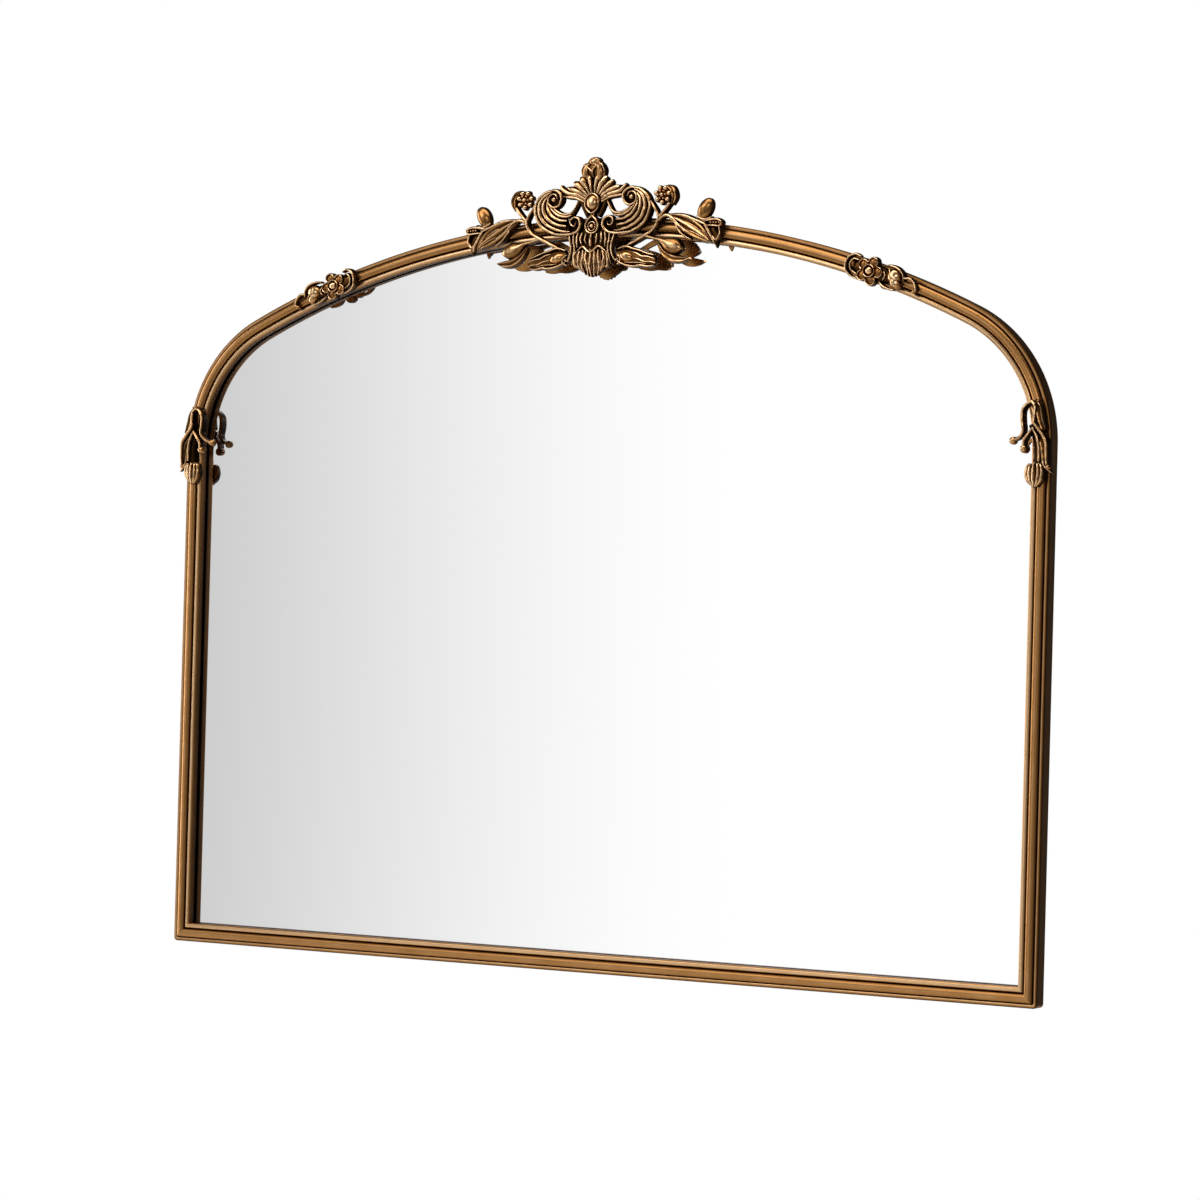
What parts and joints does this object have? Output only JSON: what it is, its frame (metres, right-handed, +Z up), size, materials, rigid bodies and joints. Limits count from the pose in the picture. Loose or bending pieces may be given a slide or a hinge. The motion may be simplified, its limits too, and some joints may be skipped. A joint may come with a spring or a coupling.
{
  "type": "arched wall mirror",
  "caption": "Arched overmantel wall mirror in a reeded antique-gold frame with a pierced carved crest, shoulder roses and leaf sprigs, hung by swinging rings on its back.",
  "frame": {"origin": "on the bottom face of the frame, in the middle of its width and of the moulding's depth", "axes": "+X to the right of someone facing the mirror, +Y back towards the wall, +Z up"},
  "size_m": [1.0262, 0.0364, 0.832],
  "materials": {
    "gilt_wood": "antique gold leaf rubbed through on the reeds, dark wash in the grooves",
    "gilt_resin": "cast resin, antique gold with rubbed cream highlights and a dark wash",
    "mirror": "silvered on the back, polished",
    "board": "plain hardboard",
    "bare_wood": "unfinished",
    "steel": "zinc plated",
    "rubber": "matt"
  },
  "bodies": {
    "frame": {"bottom_rail": "gilt_wood", "left_stile": "gilt_wood", "right_stile": "gilt_wood", "left_arch": "gilt_wood", "right_arch": "gilt_wood", "joint_splines": "bare_wood", "left_corner_brace": "steel", "right_corner_brace": "steel", "mirror_glass": "mirror", "backing_board": "board", "setting_blocks": "rubber", "board_points": "steel", "crest": "gilt_resin", "left_rose": "gilt_resin", "right_rose": "gilt_resin", "left_sprig": "gilt_resin", "right_sprig": "gilt_resin", "left_hanger_strap": "steel", "right_hanger_strap": "steel", "wall_bumpers": "rubber"},
    "left_ring": {"left_hanger_ring": "steel"},
    "right_ring": {"right_hanger_ring": "steel"}
  },
  "joints": [
    {"name": "left_ring_swing", "type": "hinge", "parent": "frame", "child": "left_ring", "pos_m": [-0.4995, 0.01188, 0.488], "axis": [-1, 0, 0], "range_deg": [0, 165]},
    {"name": "right_ring_swing", "type": "hinge", "parent": "frame", "child": "right_ring", "pos_m": [0.4995, 0.01188, 0.488], "axis": [-1, 0, 0], "range_deg": [0, 165]}
  ]
}
